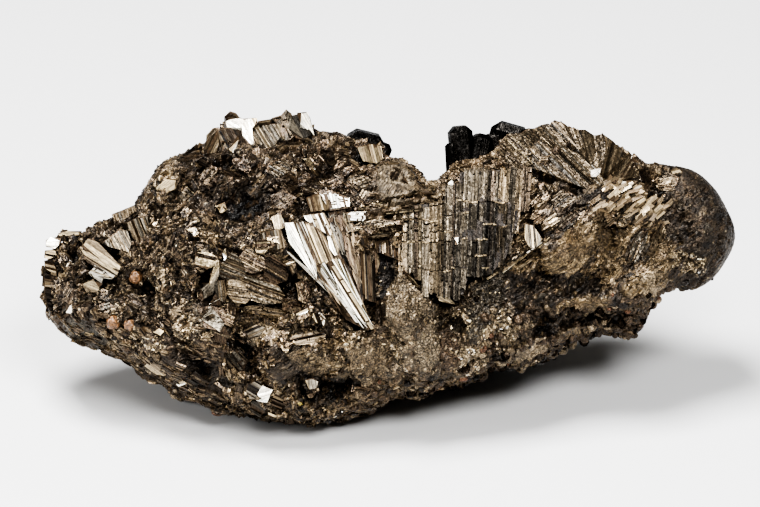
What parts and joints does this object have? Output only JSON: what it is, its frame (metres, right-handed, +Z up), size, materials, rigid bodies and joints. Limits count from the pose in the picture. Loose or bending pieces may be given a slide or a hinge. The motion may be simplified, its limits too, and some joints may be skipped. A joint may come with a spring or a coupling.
{
  "type": "cassiterite specimen",
  "caption": "Hand specimen of bladed metallic ore with stout black cassiterite crystals on its crest, a free-standing display piece that rests on a flat underside.",
  "frame": {"origin": "on the surface the specimen rests on, under the centre of its bounding box", "axes": "+X along the specimen's length towards its rounded end, +Z up, the broad crystal-covered face looking along -Y and leaning back"},
  "size_m": [0.1506, 0.0628, 0.0634],
  "materials": {
    "rock": "rough metallic ore, glittering grains",
    "bright_blades": "silvery metallic cleavage, striated",
    "grey_blades": "grey metallic columns, striated",
    "bronze_blades": "bronze-brown metallic blades, striated",
    "cassiterite": "black, glossy",
    "spherule": "dull brown"
  },
  "bodies": {
    "root": {"rock": "rock", "blade_fan": "bright_blades", "column_block": "grey_blades", "plate_sheaf": "bronze_blades", "crest_crystals": "bright_blades", "blade_book": "bronze_blades", "left_plates": "bright_blades", "left_striated_plates": "grey_blades", "end_crystal": "bright_blades", "cassiterite_left": "cassiterite", "cassiterite_middle": "cassiterite", "cassiterite_right": "cassiterite", "spherule_upper": "spherule", "spherule_lower_left": "spherule", "spherule_lower_right": "spherule"}
  },
  "joints": []
}
